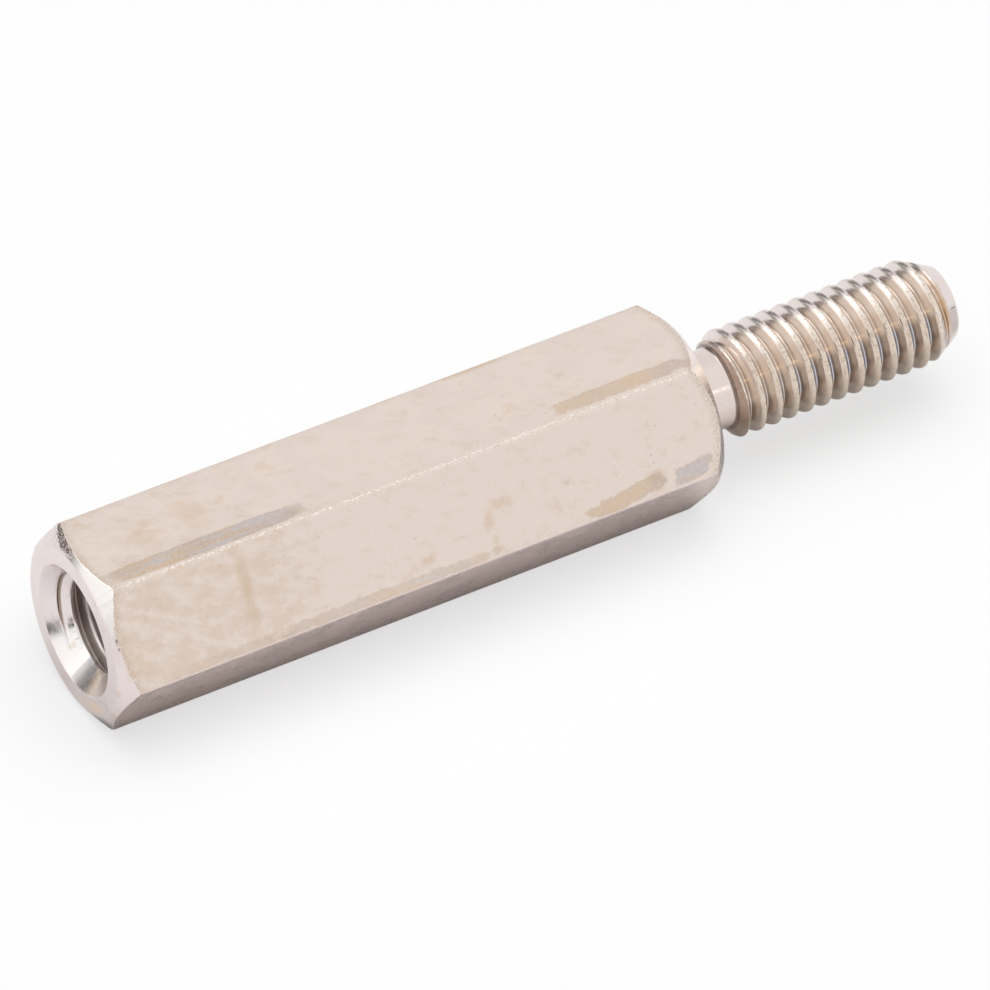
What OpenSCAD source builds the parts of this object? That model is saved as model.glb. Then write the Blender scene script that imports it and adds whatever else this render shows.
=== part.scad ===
// Male-female hex standoff, turned from one length of hexagon bar.
// The origin is on the axis, in the end face that holds the socket. +X runs along the bar
// to the stud's tip, and one flat of the hexagon looks down (-Z). Millimetres.

/* [Hexagonal body] */
// Width of the hexagon across its flats
across_flats = 5; // [5:0.1:8]
// Radius of the rounding that the drawing die leaves on the hexagon's corners
corner_rounding = 0.2; // [0.05:0.05:0.3]
// Length of the body, from the socket's end face to the shoulder
body_len = 18; // [14:0.5:50]
// Diameter of the flat ring left on the socket's end face by the chamfer
socket_face_d = 4.65; // [4.2:0.05:4.95]
// Slope of the chamfer on the socket's end, measured from the end face
socket_chamfer_deg = 34; // [20:1:50]
// Diameter of the flat ring left on the shoulder by the chamfer
shoulder_face_d = 4.8; // [4:0.05:4.95]
// Slope of the chamfer on the shoulder, measured from the shoulder face
shoulder_chamfer_deg = 45; // [20:1:50]

/* [Thread, both ends] */
// Nominal diameter of the thread
thread_d = 3; // [2.5:0.1:3]
// Pitch of the thread, which also sets the neck and the tapping drill
thread_pitch = 0.5; // [0.35, 0.4, 0.45, 0.5]
// Amount by which the crests of the stud are turned under the nominal diameter
crest_allowance = 0.08; // [0:0.01:0.12]

/* [Stud] */
// Length of the stud from the shoulder to its tip
stud_len = 8; // [5:0.5:16]
// Diameter of the stud's flat tip
tip_d = 2.05; // [1.4:0.05:2.1]
// Slope of the cone at the tip, measured from the axis
tip_cone_deg = 28; // [25:1:45]
// Radius in the corner between the neck and the shoulder
neck_fillet = 0.15; // [0.05:0.01:0.2]

/* [Socket] */
// Depth of the tapped hole, not counting the drill's point
bore_depth = 10; // [6:0.5:11]
// Mouth diameter of the countersink
countersink_d = 3.65; // [3.1:0.05:4.1]
// Full angle of the countersink
countersink_angle = 90; // [80:1:120]

/* [Hidden] */
// Full angle of a standard twist drill's point
drill_point_angle = 118;
// Slope of the flank from the neck up to the thread, measured from the axis
neck_flank_deg = 60;
// Share of the pitch that the neck lies under the nominal diameter, and its length in pitches
neck_drop_pitches = 1.6;
neck_len_pitches = 2.2;
// Angle between two points on the rounding of a hexagon's corner
rounding_step_deg = 6;
// Spare length by which a cutting shape runs past the face it cuts
over = 1;
$fn = 96;

corner_centre_r = (across_flats / 2 - corner_rounding) / cos(30);
corner_r = corner_centre_r + corner_rounding;
crest_r = (thread_d - crest_allowance) / 2;
neck_r = (thread_d - neck_drop_pitches * thread_pitch) / 2;
neck_len = neck_len_pitches * thread_pitch;
neck_flank_len = (crest_r - neck_r) / tan(neck_flank_deg);
tip_r = tip_d / 2;
tip_len = (crest_r - tip_r) / tan(tip_cone_deg);
bore_r = (thread_d - thread_pitch) / 2;
point_len = bore_r / tan(drill_point_angle / 2);
countersink_r = countersink_d / 2;
countersink_len = (countersink_r - bore_r) / tan(countersink_angle / 2);
socket_face_r = socket_face_d / 2;
shoulder_face_r = shoulder_face_d / 2;
// Axial length of each chamfer where it runs out past the hexagon's corners
clear_r = corner_r + over;
socket_chamfer_len = (clear_r - socket_face_r) * tan(socket_chamfer_deg);
shoulder_chamfer_len = (clear_r - shoulder_face_r) * tan(shoulder_chamfer_deg);

// Lays a shape drawn along Z onto the bar's own axis, X.
module along_x() {
    rotate([0, 90, 0]) children();
}

// Section of the drawn bar: a hexagon with rounded corners.
module bar_section() {
    polygon([
        for (corner = [30 : 60 : 330], step = [-30 : rounding_step_deg : 30])
            corner_centre_r * [cos(corner), sin(corner)]
            + corner_rounding * [cos(corner + step), sin(corner + step)]
    ]);
}

// The drawn bar, sawn to length, with one flat down.
module hexagon_bar() {
    linear_extrude(body_len)
        bar_section();
}

// What the lathe leaves of the bar: a cylinder wider than the corners, with a cone at each end.
module turned_envelope() {
    rotate_extrude()
        polygon([
            [0, 0],
            [socket_face_r, 0],
            [clear_r, socket_chamfer_len],
            [clear_r, body_len - shoulder_chamfer_len],
            [shoulder_face_r, body_len],
            [0, body_len]
        ]);
}

// Ring of metal that fills the corner between the neck and the shoulder.
module neck_corner() {
    rotate_extrude()
        difference() {
            translate([neck_r - over / 2, -over / 2])
                square([over / 2 + neck_fillet, over / 2 + neck_fillet]);
            translate([neck_r + neck_fillet, neck_fillet])
                circle(r = neck_fillet);
        }
}

// The stud on its shoulder: neck, flank up to the thread's crests, threaded length and tip cone.
module stud() {
    translate([0, 0, body_len]) {
        rotate_extrude()
            polygon([
                [0, -over],
                [neck_r, -over],
                [neck_r, neck_len],
                [crest_r, neck_len + neck_flank_len],
                [crest_r, stud_len - tip_len],
                [tip_r, stud_len],
                [0, stud_len]
            ]);
        neck_corner();
    }
}

// The blind hole drilled for tapping, with its countersunk mouth and drill point.
module socket_cut() {
    rotate_extrude()
        polygon([
            [0, -over],
            [countersink_r + over * tan(countersink_angle / 2), -over],
            [bore_r, countersink_len],
            [bore_r, bore_depth],
            [0, bore_depth + point_len]
        ]);
}

module standoff() {
    color("silver")
        along_x()
            difference() {
                union() {
                    intersection() {
                        hexagon_bar();
                        turned_envelope();
                    }
                    stud();
                }
                socket_cut();
            }
}

standoff();
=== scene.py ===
"""Male-female hex standoff: the turned bar with its cut threads, its plated finishes and a plain studio."""

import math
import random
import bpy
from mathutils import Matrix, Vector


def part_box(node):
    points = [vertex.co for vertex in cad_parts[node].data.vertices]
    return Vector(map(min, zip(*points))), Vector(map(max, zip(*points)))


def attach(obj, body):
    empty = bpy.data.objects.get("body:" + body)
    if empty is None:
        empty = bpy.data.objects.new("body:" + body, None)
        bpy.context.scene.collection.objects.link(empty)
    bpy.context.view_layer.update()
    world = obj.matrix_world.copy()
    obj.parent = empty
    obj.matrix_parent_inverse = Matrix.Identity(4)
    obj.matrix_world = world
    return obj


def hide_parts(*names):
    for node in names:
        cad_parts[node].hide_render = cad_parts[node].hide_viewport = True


bl_info = {
    "name": "Hex standoff",
    "version": (1, 0, 0),
    "blender": (4, 5, 0),
    "location": "View3D > Sidebar > Standoff",
    "description": "Builds a nickel-plated hex standoff with real threads, its finishes and its studio",
    "category": "Object",
}

from types import SimpleNamespace

import bpy
import numpy as np
from bpy.props import FloatProperty, FloatVectorProperty, PointerProperty
from mathutils import Matrix, Vector

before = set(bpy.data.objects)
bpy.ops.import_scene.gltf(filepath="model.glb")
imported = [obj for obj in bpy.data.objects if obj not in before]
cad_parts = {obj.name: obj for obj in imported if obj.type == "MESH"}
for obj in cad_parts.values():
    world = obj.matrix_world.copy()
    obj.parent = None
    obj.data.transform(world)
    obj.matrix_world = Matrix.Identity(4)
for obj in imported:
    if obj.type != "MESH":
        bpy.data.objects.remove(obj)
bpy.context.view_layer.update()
BAR_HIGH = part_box("standoff")[1]

MM = 0.001
SIDES = 6
SECTOR = 2 * math.pi / SIDES
FULL_TURN = 360.0
THREAD_FLANK = math.radians(30)
# The finish of each face, as the place of its material on the mesh
FLATS, TURNED, STUD, SOCKET = range(4)


# ---------------------------------------------------------------- sizes and colours


def number(name, description, default, **limits):
    """A number that the sidebar shows."""
    return FloatProperty(name=name, description=description, default=default, **limits)


def length(name, description, default):
    """A length that the sidebar shows in the scene's own unit."""
    return number(name, description, default, min=0, precision=5, unit="LENGTH", subtype="DISTANCE")


def offset(name, description, default):
    """A length that may be negative."""
    return number(name, description, default, precision=5, unit="LENGTH", subtype="DISTANCE")


def angle(name, description, degrees):
    """An angle that the sidebar shows in degrees."""
    return number(name, description, math.radians(degrees), unit="ROTATION", subtype="ANGLE")


def share(name, description, default, top=1.0):
    """A plain number between nothing and its highest value."""
    return number(name, description, default, min=0, max=top, subtype="FACTOR")


def colour(name, description, default):
    """A linear colour."""
    settings = dict(size=3, min=0, max=1, subtype="COLOR")
    return FloatVectorProperty(name=name, description=description, default=default, **settings)


class StandoffSizes(bpy.types.PropertyGroup):
    """The bar's sizes, on the same stations along X as the solid's."""

    apothem: length("Half across flats", "Axis to each flat", BAR_HIGH.z)
    total_length: length("Total length", "Socket face to stud tip", BAR_HIGH.x)
    body_length: length("Body length", "Socket face to shoulder", 0.018)
    corner_edge: length("Corner rounding", "Rounding of the bar's long edges", 0.0002)
    turned_edge: length("Turned edge", "Rounding of the turned edges", 0.00003)
    socket_face: length("Socket face radius", "Flat ring at the socket", 0.002325)
    socket_slope: angle("Socket chamfer", "Slope from the end face", 34)
    shoulder_face: length("Shoulder radius", "Flat ring at the shoulder", 0.0024)
    shoulder_slope: angle("Shoulder chamfer", "Slope from the shoulder face", 45)
    pitch: length("Thread pitch", "Advance in one turn", 0.0005)
    thread_start: length("Thread start", "First crest from the shoulder, at no turn", 0.00005)
    crest: length("Stud crest radius", "Axis to the stud's crests", 0.001458)
    root: length("Stud root radius", "Axis to the stud's roots", 0.00116)
    neck: length("Neck radius", "Axis to the undercut neck", 0.0011)
    neck_length: length("Neck length", "Length of the plain neck", 0.00113)
    neck_flank: angle("Neck flank", "Slope up to the thread, from the axis", 54)
    neck_fillet: length("Neck fillet", "Corner of neck and shoulder", 0.00015)
    tip: length("Tip radius", "Flat at the stud's tip", 0.001025)
    tip_slope: angle("Tip cone", "Slope from the axis", 28)
    bore: length("Bore radius", "Axis to the tapped hole's crests", 0.00125)
    bore_root: length("Socket root radius", "Axis to the socket's roots", 0.001522)
    bore_depth: length("Bore depth", "Depth without the drill point", 0.010)
    tapped_depth: length("Tapped depth", "Depth of the full thread", 0.008)
    drill_point: angle("Drill point", "Half angle of the drill's point", 59)
    mouth: length("Countersink radius", "Mouth of the countersink", 0.001825)


class StandoffFinish(bpy.types.PropertyGroup):
    """The plated finishes."""

    plate: colour("Plate", "Nickel on the drawn flats", (0.768, 0.664, 0.602))
    haze: colour("Haze", "Brownish haze on the flats", (0.655, 0.52, 0.415))
    turned: colour("Turned faces", "Nickel on the turned faces", (0.805, 0.728, 0.722))
    # Painted highlight: a neutral tint laid on the front of the socket's chamfer and on the countersink,
    # where the lamps' reflections fall, so that they read pale and neutral
    polished: colour("Polished", "Nickel burnished by the cutting tool", (0.785, 0.756, 0.736))
    # Worn bright nickel, also laid as painted highlight and light on the flats' front corner, the chamfers
    # and the stud's crest edges
    bright: colour("Bright edge", "Nickel worn bright along the edges", (0.90, 0.82, 0.74))
    tan: colour("Tan stain", "Dried stain along the edges", (0.61, 0.45, 0.31))
    blue: colour("Blue stain", "Blue-grey film in the stains", (0.53, 0.485, 0.485))
    mauve: colour("Mauve stain", "Dull film in the stains", (0.53, 0.42, 0.36))
    tip_stain: colour("Tip stain", "Orange stain in the thread's last valley", (0.58, 0.41, 0.27))
    # Also laid as painted shade on the stud's underside, partly in its roots, and in the socket's groove
    rim: colour("Stain rim", "Brown line round a dried stain", (0.47, 0.36, 0.28))
    flank: colour("Thread flank", "Pale tarnish on flanks and crests", (0.84, 0.735, 0.635))
    # Painted reflection: a blue-grey line laid in the stud's lower front roots, standing for a bluish light
    # reflected there
    root: colour("Thread root", "Blue-grey film in the roots", (0.54, 0.54, 0.60))
    # Painted shade beside the stud's lower front roots
    painted_root_shade: colour("Root shade", "Slate film beside the roots", (0.26, 0.27, 0.31))
    # Real peach stains on the end face, laid large and light there to lift the shade it reflects as painted
    # light; also the painted reflection of a thin lamp along the stud's thread
    peach: colour("Peach film", "Thin peach film on turned metal", (0.95, 0.76, 0.58))
    # Tint of the flats that face down: a duller film, made lighter and pinker than the plate to lift their
    # shade, so partly painted light
    lower_film_and_lift: colour("Lower flats", "Nickel on the flats that face down", (0.80, 0.68, 0.65))
    # Dark specks and pits, and also painted shade: on the stud's underside, at its thread's first corner and
    # on its lower back flanks, in the socket's groove and on the bore's far wall
    specks_and_painted_shade: colour("Specks", "Dark specks and pits", (0.16, 0.12, 0.10))
    flat_roughness: share("Flat roughness", "Roughness of the drawn flats", 0.30)
    turned_roughness: share("Turned roughness", "Roughness of turned faces", 0.22)
    thread_roughness: share("Thread roughness", "Roughness of the stud's thread", 0.16)
    socket_roughness: share("Socket roughness", "Roughness of the countersink and its thread", 0.2)


class StandoffStudio(bpy.types.PropertyGroup):
    """The floor, the lamps and the camera."""

    floor: colour("Floor", "Colour of the floor", (0.96, 0.96, 0.96))
    lift: share("Floor lift", "Share of plain white in the floor where the camera sees it", 0.65)
    fill: share("Top light", "Level of the top light on the floor", 1.0, 2)
    top_focus: share("Top focus", "How closely the top light gathers overhead", 4.0, 20)
    focal: length("Focal length", "Focal length on a 36 mm frame", 0.5000125)
    azimuth: angle("Azimuth", "Camera azimuth", -30.87917)
    elevation: angle("Elevation", "Camera elevation", 43.04666)
    roll: angle("Roll", "Camera roll", 1.34655)
    distance: length("Distance", "Camera to the aim point", 0.35964189)
    aim_right: offset("Aim right", "From the shoulder across the view to the aim point", -0.00477516)
    aim_up: offset("Aim up", "From the shoulder up the view to the aim point", -0.0024408)


# ---------------------------------------------------------------- profiles


def rounded_path(corners, steps=3):
    """A path of (x, r) points. Each corner (x, r, radius) is replaced by an arc of that radius."""
    points = [Vector(corners[0][:2])]
    for before, corner, after in zip(corners, corners[1:], corners[2:]):
        here = Vector(corner[:2])
        towards = (Vector(before[:2]) - here).normalized()
        onward = (Vector(after[:2]) - here).normalized()
        radius = corner[2]
        if radius <= 0:
            points.append(here)
            continue
        half = towards.angle(onward) / 2
        reach = radius / math.tan(half)
        centre = here + (towards + onward).normalized() * (radius / math.sin(half))
        first = here + towards * reach - centre
        last = here + onward * reach - centre
        sweep = first.angle_signed(last)
        for k in range(steps + 1):
            turn = sweep * k / steps
            points.append(centre + Matrix.Rotation(-turn, 2) @ first)
    points.append(Vector(corners[-1][:2]))
    return [(p.x, p.y) for p in points]


def hexagon_radius(turn, apothem, edge):
    """Distance from the axis to a hexagon with rounded corners. They lie at 0, 60, 120 ... degrees."""
    off = abs((turn + SECTOR / 2) % SECTOR - SECTOR / 2)
    arc_centre = (apothem - edge) / math.cos(SECTOR / 2)
    if off >= tangent_turn(apothem, edge):
        return apothem / math.cos(SECTOR / 2 - off)
    across = arc_centre * math.sin(off)
    return arc_centre * math.cos(off) + math.sqrt(edge**2 - across**2)


def tangent_turn(apothem, edge):
    """Angle from a corner to where its rounding meets the flat."""
    return SECTOR / 2 - math.atan((apothem - edge) * math.tan(SECTOR / 2) / apothem)


def column_turns(apothem, edge, step_degrees=3.75):
    """Angles of the mesh's columns: even steps, with a close group across each rounded corner."""
    tangent = tangent_turn(apothem, edge)
    beside = 1.9 * tangent
    steps = round(math.degrees(SECTOR) / step_degrees)
    offsets = [SECTOR * k / steps for k in range(1, steps)]
    offsets += [tangent * k / 3 for k in range(-3, 4)] + [-beside, beside]
    return sorted((SECTOR * side + off) % (2 * math.pi) for side in range(SIDES) for off in offsets)


def smooth_least(a, b, blend):
    """The lesser of two radii, with the corner between them rounded off."""
    near = max(blend - abs(a - b), 0) / blend
    return min(a, b) - near * near * blend / 4


def smooth_most(a, b, blend):
    """The greater of two radii, with the corner between them rounded off."""
    return -smooth_least(-a, -b, blend)


def cone_start(z):
    """The station where the tip's cone meets the thread's crests."""
    return z.total_length - (z.crest - z.tip) / math.tan(z.tip_slope)


def on_tip_cone(z, x):
    """The radius of the tip's cone at a station."""
    return z.crest - (x - cone_start(z)) * math.tan(z.tip_slope)


def burr(turn, seed, size):
    """A small ragged offset that is the same at the same angle each time."""
    return size * (random.Random(round(turn * 1e5) * 31 + seed).random() - 0.5)


def climb(z, turn):
    """How far a right-handed thread climbs along the bar in a turn."""
    return z.pitch * turn / (2 * math.pi)


# ---------------------------------------------------------------- skin of the bar


class Skin:
    """A skin of rings. Every ring has one vertex in each column, so neighbouring rings join in quads."""

    def __init__(self, turns):
        self.turns = turns
        self.points = []
        self.faces = []
        self.finishes = []

    def vertex(self, column, x, r):
        """Adds a vertex to a column and returns its number."""
        turn = self.turns[column % len(self.turns)]
        self.points.append((x, r * math.cos(turn), r * math.sin(turn)))
        return len(self.points) - 1

    def face(self, corners, finish, flip=False):
        """Adds a face. Flip turns its front to the other side."""
        self.faces.append(tuple(reversed(corners)) if flip else tuple(corners))
        self.finishes.append(finish)

    def ring(self, x, r):
        """A ring. x and r are lengths, or functions of the column's angle."""
        place = [f if callable(f) else (lambda turn, f=f: f) for f in (x, r)]
        return [self.vertex(c, place[0](t), place[1](t)) for c, t in enumerate(self.turns)]

    def bridge(self, first, second, finish, flip=False, closed=True):
        """Quads from one ring to the next along the path."""
        count = len(self.turns)
        for c in range(count if closed else count - 1):
            d = (c + 1) % count
            self.face((first[c], first[d], second[d], second[c]), finish, flip)

    def run(self, ring, path, finish):
        """Carries a round ring along a path of (x, r) points, and returns the last ring."""
        for x, r in path:
            after = self.ring(x, r)
            self.bridge(ring, after, finish)
            ring = after
        return ring

    def cap(self, ring, x, finish, flip=False):
        """Closes a ring with a fan to a point on the axis."""
        centre = self.vertex(0, x, 0)
        for c, first in enumerate(ring):
            self.face((first, ring[(c + 1) % len(ring)], centre), finish, flip)

    def screw(self, first, last, rows, per_turn, place, finish, flip=False):
        """Joins two rings by a sheet whose rows climb one pitch in each turn, as a screw thread does.
        rows are the rows' places at angle 0, and place(row, turn) gives each vertex's (x, r)."""
        count = len(self.turns)
        sheet = [[self.vertex(c, *place(row, t)) for c, t in enumerate(self.turns)] for row in rows]
        top = len(rows) - 1
        for low, high in zip(sheet, sheet[1:]):
            self.bridge(low, high, finish, flip, closed=False)
        for j in range(top - per_turn):
            corners = (sheet[j][-1], sheet[j + per_turn][0], sheet[j + per_turn + 1][0], sheet[j + 1][-1])
            self.face(corners, finish, flip)
        self.bridge(first, sheet[0], finish, flip, closed=False)
        self.bridge(sheet[top], last, finish, flip, closed=False)
        start = [sheet[j][0] for j in range(per_turn + 1)]
        self.face([first[-1], first[0]] + start + [sheet[0][-1]], finish, flip)
        end = [sheet[j][count - 1] for j in range(top, top - per_turn - 1, -1)]
        self.face([last[0], last[-1]] + end + [sheet[top][0]], finish, flip)


def thread_profile(valley, peak, peak_half, pitch, roundings, steps):
    """One pitch of a thread, from the middle of one valley to the next: (offset from the peak, r).
    The roundings are the radii of its four corners, each drawn in a number of steps."""
    valley_half = pitch / 2 - peak_half - (peak - valley) * math.tan(THREAD_FLANK)
    corners = [
        (-pitch / 2, valley, 0),
        (-pitch / 2 + valley_half, valley, roundings[0]),
        (-peak_half, peak, roundings[1]),
        (peak_half, peak, roundings[2]),
        (pitch / 2 - valley_half, valley, roundings[3]),
        (pitch / 2, valley, 0),
    ]
    path = rounded_path(corners, steps)
    flanks = []
    for low, high in zip(path, path[1:]):
        if abs(high[1] - low[1]) > abs(peak - valley) / 3:
            flanks += [tuple(low[k] + (high[k] - low[k]) * part for k in (0, 1)) for part in (1 / 3, 2 / 3)]
    return sorted(path[:-1] + flanks)


def thread_rows(profile, phase, pitch, turns, low, high):
    """A thread's rows as (station at angle 0, r), between two stations. Phase is the peak of turn 0."""
    rows = [(phase + pitch * k + step, r) for k in turns for step, r in profile]
    return [row for row in rows if low <= row[0] <= high]


# The room that the tap's lead leaves below the full thread
RUN_OUT = 0.0009


def socket_rings(skin, z):
    """The drilled hole's point and plain bore, up to the end of its thread."""
    point = z.bore / math.tan(z.drill_point)
    part = 0.25
    path = rounded_path(
        [
            (z.bore_depth + point * (1 - part), z.bore * part, 0),
            (z.bore_depth, z.bore, 0.00006),
            (z.tapped_depth + RUN_OUT, z.bore, 0),
        ]
    )
    first = skin.ring(*path[0])
    skin.cap(first, z.bore_depth + point, SOCKET, flip=True)
    return skin.run(first, path[1:], SOCKET)


def socket_thread(skin, deep, shallow, z):
    """The tapped thread, from the countersink down to the end of its run-out."""
    peak_half = 0.00003
    roundings = (0.000012, 0.00003, 0.00003, 0.00008)
    profile = thread_profile(z.bore, z.bore_root, peak_half, z.pitch, roundings, steps=2)
    phase = 0.00037
    first_row = -0.00074
    last_row = z.tapped_depth + 0.00035
    squeeze_start = 0.00027
    squeeze = 0.00022
    torn_start = 0.0004
    torn_ramp = 0.0001
    torn_size = 0.000022
    crease = 0.000012
    first_turn = -3
    lead_out = 0.0002

    def place(row, turn):
        x = row[0] + climb(z, turn)
        if x < squeeze_start:
            x = squeeze_start - squeeze * (1 - math.exp((x - squeeze_start) / squeeze))
        fade = min(max((z.tapped_depth + RUN_OUT / 2 - x) / RUN_OUT, 0), 1)
        cut = z.bore + (row[1] - z.bore) * fade
        torn = burr(turn, 7, torn_size) * min(max((x - torn_start) / torn_ramp, 0), 1)
        return x, smooth_most(cut, z.mouth - x + torn, crease)

    turns = range(first_turn, math.ceil((z.tapped_depth - lead_out) / z.pitch))
    rows = thread_rows(profile, phase, z.pitch, turns, first_row, last_row)
    skin.screw(shallow, deep, rows, len(profile), place, SOCKET, flip=True)


def body_rings(skin, mouth_ring, z):
    """The end face, both chamfers, the six flats, the shoulder and the start of the neck."""
    edge = z.turned_edge
    on_cone = 0.0018
    burr_size = 0.00003
    stations = [z.body_length * k / 10 for k in range(1, 10)]

    def column(turn):
        """One column's (x, r) points, from the countersink's cone to the neck."""
        corner = hexagon_radius(turn, z.apothem, z.corner_edge)
        near = (corner - z.socket_face) * math.tan(z.socket_slope) + burr(turn, 1, burr_size)
        far = z.body_length - (corner - z.shoulder_face) * math.tan(z.shoulder_slope)
        face = rounded_path(
            [
                (z.mouth - on_cone, on_cone, 0),
                (0, z.mouth, edge),
                (0, z.socket_face, edge),
                (near, corner, edge),
                (stations[0], corner, 0),
            ]
        )[1:]
        shoulder = rounded_path(
            [
                (stations[-1], corner, 0),
                (far, corner, edge),
                (z.body_length, z.shoulder_face, edge),
                (z.body_length, z.neck, z.neck_fillet),
                (z.body_length + z.neck_fillet * 4 / 3, z.neck, 0),
            ]
        )
        return face + [(x, corner) for x in stations[1:-1]] + shoulder

    columns = [column(t) for t in skin.turns]
    # A column holds three arcs of four points before the flat, and one ring at each station on it
    chamfer_end = 3 * 4
    flat_end = chamfer_end + len(stations) + 1
    ring = mouth_ring
    for k in range(len(columns[0])):
        after = [skin.vertex(c, *columns[c][k]) for c in range(len(columns))]
        on_flats = chamfer_end <= k <= flat_end
        skin.bridge(ring, after, FLATS if on_flats else TURNED)
        ring = after
    return ring


def stud_thread(skin, neck_ring, tip_ring, z):
    """The stud's thread, cut into the neck's flank at one end and the tip's cone at the other."""
    peak_half = 0.000054
    roundings = (0.00003, 0.00015, 0.000035, 0.00003)
    profile = thread_profile(z.root, z.crest, peak_half, z.pitch, roundings, steps=3)
    neck_end = z.body_length + z.neck_length
    first_row = z.body_length + 0.00022
    last_row = z.total_length - 0.00027
    squeeze_start = z.total_length - 0.0003
    squeeze = 0.00025
    neck_crease = 0.000008
    crease = 0.00002
    turns_cut = 20

    def place(row, turn):
        x = row[0] + climb(z, turn)
        if x > squeeze_start:
            x = squeeze_start + squeeze * (1 - math.exp((squeeze_start - x) / squeeze))
        neck = z.neck + smooth_most((x - neck_end) * math.tan(z.neck_flank), 0, neck_crease)
        return x, smooth_least(row[1], min(neck, on_tip_cone(z, x)), crease)

    first_turn = round(z.body_length / z.pitch)
    turns = range(first_turn, first_turn + turns_cut)
    rows = thread_rows(profile, z.thread_start, z.pitch, turns, first_row, last_row)
    skin.screw(neck_ring, tip_ring, rows, len(profile), place, STUD)


def bar_skin(z):
    """The whole bar as one closed skin, from the drill point out of the socket and on to the stud's tip."""
    skin = Skin(column_turns(z.apothem, z.corner_edge))
    lip = 0.00003
    tip_edge = 0.00003
    deep = socket_rings(skin, z)
    shallow = skin.ring(lip, z.mouth - lip)
    socket_thread(skin, deep, shallow, z)
    neck_ring = body_rings(skin, shallow, z)
    tip_start = z.total_length - 2 * tip_edge
    tip_ring = skin.ring(tip_start, on_tip_cone(z, tip_start))
    stud_thread(skin, neck_ring, tip_ring, z)
    tip_path = rounded_path(
        [
            (tip_start, on_tip_cone(z, tip_start), 0),
            (z.total_length, z.tip, tip_edge),
            (z.total_length, z.tip * 0.3, 0),
        ]
    )
    last = skin.run(tip_ring, tip_path[1:], TURNED)
    skin.cap(last, z.total_length, TURNED)
    return skin


def corner_normals(points, faces):
    """Vertex normals weighted by face area, so that flats stay flat up to their rounded edges."""
    normals = np.zeros_like(points)
    for face in faces:
        corners = points[list(face)]
        area = np.zeros(3)
        for k in range(1, len(face) - 1):
            area += np.cross(corners[k] - corners[0], corners[k + 1] - corners[0])
        normals[list(face)] += area
    lengths = np.linalg.norm(normals, axis=1, keepdims=True)
    return normals / np.maximum(lengths, 1e-20)


def make_bar(z, finishes):
    """The bar's mesh object, with one finish on each kind of surface."""
    skin = bar_skin(z)
    mesh = bpy.data.meshes.new("standoff_bar")
    mesh.from_pydata(skin.points, [], skin.faces)
    mesh.polygons.foreach_set("material_index", skin.finishes)
    mesh.polygons.foreach_set("use_smooth", [True] * len(skin.faces))
    for finish in finishes:
        mesh.materials.append(finish)
    mesh.update()
    normals = corner_normals(np.array(skin.points), skin.faces)
    mesh.normals_split_custom_set_from_vertices(normals.tolist())
    bar = bpy.data.objects.new("standoff_bar", mesh)
    bpy.context.scene.collection.objects.link(bar)
    return bar


# ---------------------------------------------------------------- node recipes


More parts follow.
